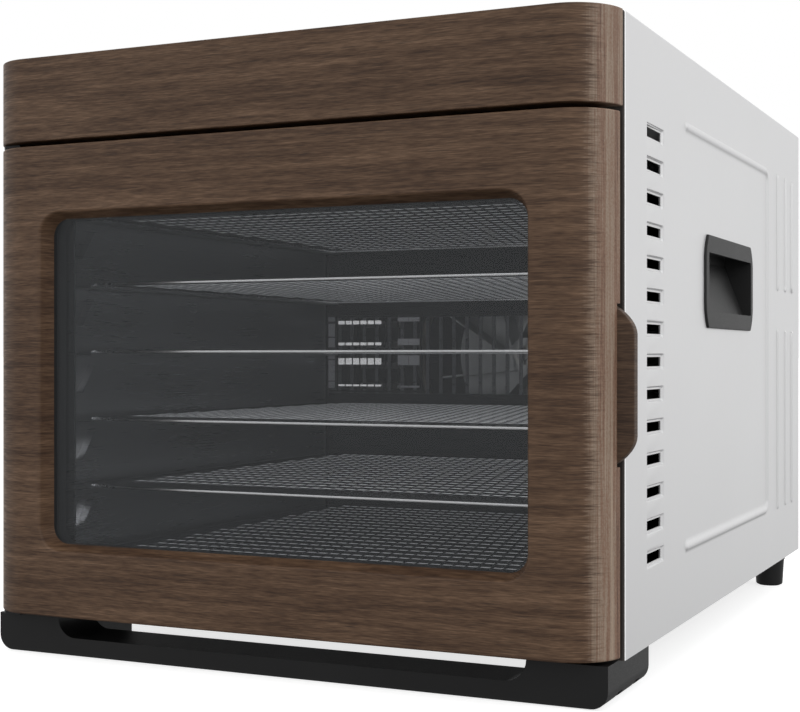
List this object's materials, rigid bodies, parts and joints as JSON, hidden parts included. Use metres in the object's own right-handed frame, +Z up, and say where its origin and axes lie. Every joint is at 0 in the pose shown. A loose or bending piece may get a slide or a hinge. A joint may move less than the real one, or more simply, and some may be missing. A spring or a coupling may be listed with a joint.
{
  "type": "food dehydrator",
  "caption": "Food dehydrator: pale metal case, walnut-look front with a side-hinged glass door, perforated sliding trays, rear fan, recessed carry handles.",
  "frame": {"origin": "on the ground, under the middle of the case", "axes": "+X to the right facing the door, +Y from the door to the rear, +Z up"},
  "size_m": [0.3461, 0.45, 0.308],
  "materials": {
    "silver_sheet": "pale silver powder coat, satin",
    "inner_steel": "plain steel sheet, satin",
    "rear_sheet": "pale silver powder coat, satin",
    "tray_steel": "polished perforated steel",
    "walnut_trim": "dark walnut with fine straight horizontal grain, matte",
    "tinted_glass": "dark tinted, polished",
    "black_plastic": "black moulded plastic, satin",
    "inner_frame_plastic": "black moulded plastic",
    "grey_handle_plastic": "charcoal moulded plastic",
    "seal_rubber": "soft dark rubber",
    "plated_screws": "zinc plated",
    "hinge_steel": "plain steel",
    "hinge_bush_plastic": "natural acetal",
    "magnet": "nickel plated magnet block",
    "fan_aluminium": "plain pressed aluminium",
    "motor_iron": "lacquered steel stack",
    "heater_sheath": "heat-darkened steel sheath",
    "circuit_board": "green solder mask",
    "display_black": "black display housing",
    "wire_insulation": "pale insulation",
    "sensor_brass": "plain brass"
  },
  "bodies": {
    "case": {"outer_wrap": "silver_sheet", "base_pan": "inner_steel", "front_frame": "inner_steel", "liner_right": "inner_steel", "liner_left": "inner_steel", "liner_floor": "inner_steel", "liner_roof": "inner_steel", "rack_wall_right": "inner_steel", "rack_wall_left": "inner_steel", "rack_ledges_right": "inner_steel", "rack_ledges_left": "inner_steel", "fan_guard": "inner_steel", "fan_wall": "inner_steel", "motor_bracket": "inner_steel", "rear_panel": "rear_sheet", "control_panel": "walnut_trim", "rear_vent_grille": "black_plastic", "front_foot_bar": "black_plastic", "rear_foot_right": "black_plastic", "rear_foot_left": "black_plastic", "power_inlet": "black_plastic", "carry_handle_right": "grey_handle_plastic", "carry_handle_left": "grey_handle_plastic", "foot_pads": "seal_rubber", "case_screws": "plated_screws", "foot_screws": "plated_screws", "upper_hinge_bracket": "hinge_steel", "lower_hinge_bracket": "hinge_steel", "hinge_pins": "hinge_steel", "catch_plates": "hinge_steel", "motor_bearings": "hinge_steel", "board_standoffs": "hinge_bush_plastic", "fan_motor": "motor_iron", "heater_element": "heater_sheath", "heater_clips": "heater_sheath", "power_board": "circuit_board", "control_board": "circuit_board", "display_module": "display_black", "ribbon_cable": "wire_insulation", "mains_wiring": "wire_insulation", "thermal_cutout": "sensor_brass", "air_temperature_sensor": "sensor_brass"},
    "door": {"door_frame": "walnut_trim", "door_glass": "tinted_glass", "door_inner_frame": "inner_frame_plastic", "door_seal": "seal_rubber", "door_handle_tab": "walnut_trim", "door_magnets": "magnet", "hinge_bushes": "hinge_bush_plastic", "door_screws": "plated_screws"},
    "fan": {"fan_impeller": "fan_aluminium", "motor_shaft": "hinge_steel", "fan_nut": "plated_screws", "motor_rotor": "motor_iron"},
    "tray_1_body": {"tray_1": "tray_steel"},
    "tray_2_body": {"tray_2": "tray_steel"},
    "tray_3_body": {"tray_3": "tray_steel"},
    "tray_4_body": {"tray_4": "tray_steel"},
    "tray_5_body": {"tray_5": "tray_steel"},
    "tray_6_body": {"tray_6": "tray_steel"}
  },
  "joints": [
    {"name": "door_hinge", "type": "hinge", "parent": "case", "child": "door", "pos_m": [-0.1605, -0.213, 0.142], "axis": [0, 0, -1], "range_deg": [0, 105]},
    {"name": "fan_spin", "type": "hinge", "parent": "case", "child": "fan", "pos_m": [0, 0.15, 0.155], "axis": [0, 1, 0], "continuous": true},
    {"name": "tray_1_slide", "type": "slide", "parent": "case", "child": "tray_1_body", "axis": [0, -1, 0], "range_m": [0, 0.025]},
    {"name": "tray_2_slide", "type": "slide", "parent": "case", "child": "tray_2_body", "axis": [0, -1, 0], "range_m": [0, 0.025]},
    {"name": "tray_3_slide", "type": "slide", "parent": "case", "child": "tray_3_body", "axis": [0, -1, 0], "range_m": [0, 0.025]},
    {"name": "tray_4_slide", "type": "slide", "parent": "case", "child": "tray_4_body", "axis": [0, -1, 0], "range_m": [0, 0.025]},
    {"name": "tray_5_slide", "type": "slide", "parent": "case", "child": "tray_5_body", "axis": [0, -1, 0], "range_m": [0, 0.025]},
    {"name": "tray_6_slide", "type": "slide", "parent": "case", "child": "tray_6_body", "axis": [0, -1, 0], "range_m": [0, 0.025]}
  ]
}
